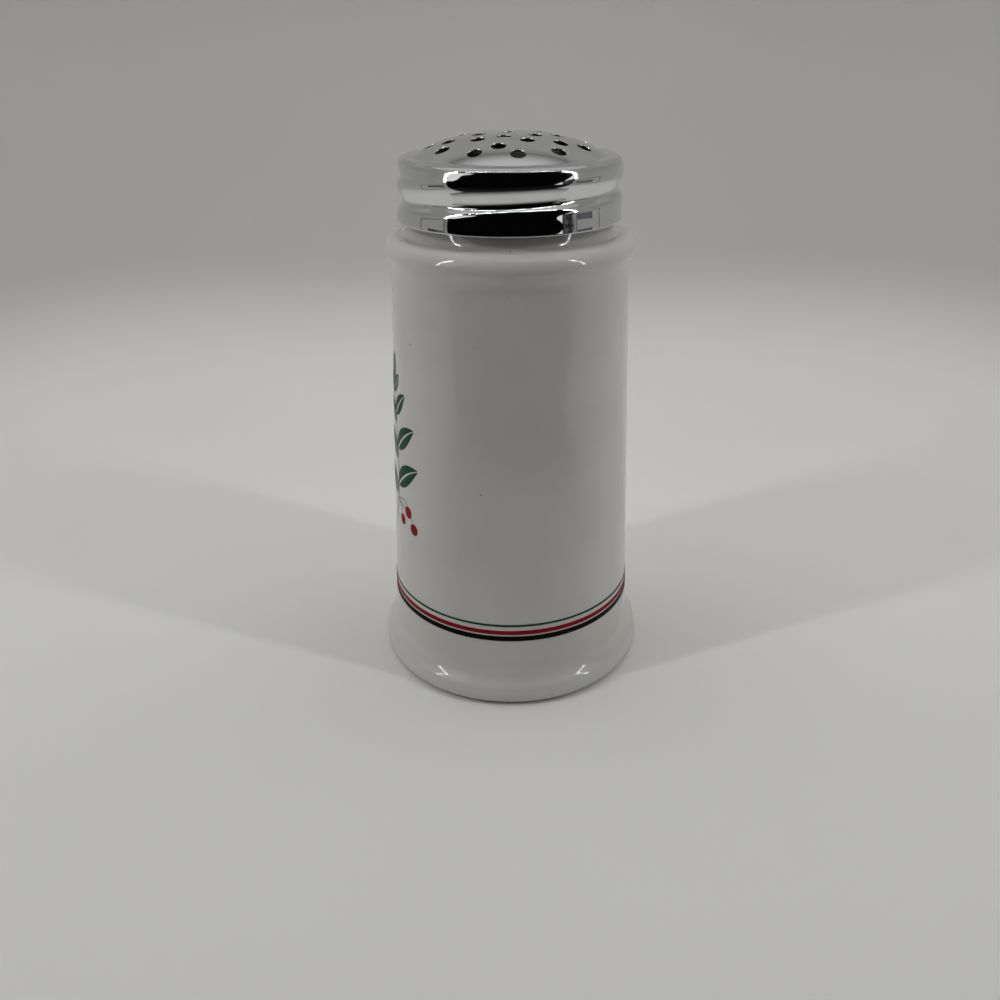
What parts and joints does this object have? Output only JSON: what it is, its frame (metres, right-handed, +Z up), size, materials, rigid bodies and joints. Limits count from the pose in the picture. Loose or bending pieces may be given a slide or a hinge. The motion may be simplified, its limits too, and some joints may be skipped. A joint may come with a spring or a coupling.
{
  "type": "parmesan shaker",
  "caption": "Tapered glazed ceramic cheese shaker with a flared foot, rolled lip and colour bands, closed by a chromed perforated dome cap that screws onto its threaded neck.",
  "frame": {"origin": "on the jar's axis, in the plane that the foot stands on", "axes": "+Z up along the jar's axis, -Y towards the viewer"},
  "size_m": [0.0866, 0.0866, 0.1626],
  "materials": {
    "glaze": "glossy white glaze",
    "green_enamel": "fired-on green band under gloss",
    "red_enamel": "fired-on red band under gloss",
    "black_enamel": "fired-on black band under gloss",
    "liner": "soft sealing ring",
    "cap_chrome": "bright chrome plate"
  },
  "bodies": {
    "jar": {"jar_body": "glaze", "green_band": "green_enamel", "red_band": "red_enamel", "black_band": "black_enamel"},
    "liner": {"cap_liner": "liner"},
    "cap": {"shaker_cap": "cap_chrome"}
  },
  "joints": [
    {"name": "cap_lift", "type": "slide", "parent": "jar", "child": "liner", "axis": [0, 0, 1], "range_m": [0, 0.0207]},
    {"name": "cap_turn", "type": "hinge", "parent": "liner", "child": "cap", "pos_m": [0, 0, 0.1486], "axis": [0, 0, 1], "range_deg": [0, 1080]}
  ],
  "couplings": [
    {"joint": "cap_lift", "follows": "cap_turn", "m_per_rad": 0.0010982}
  ]
}
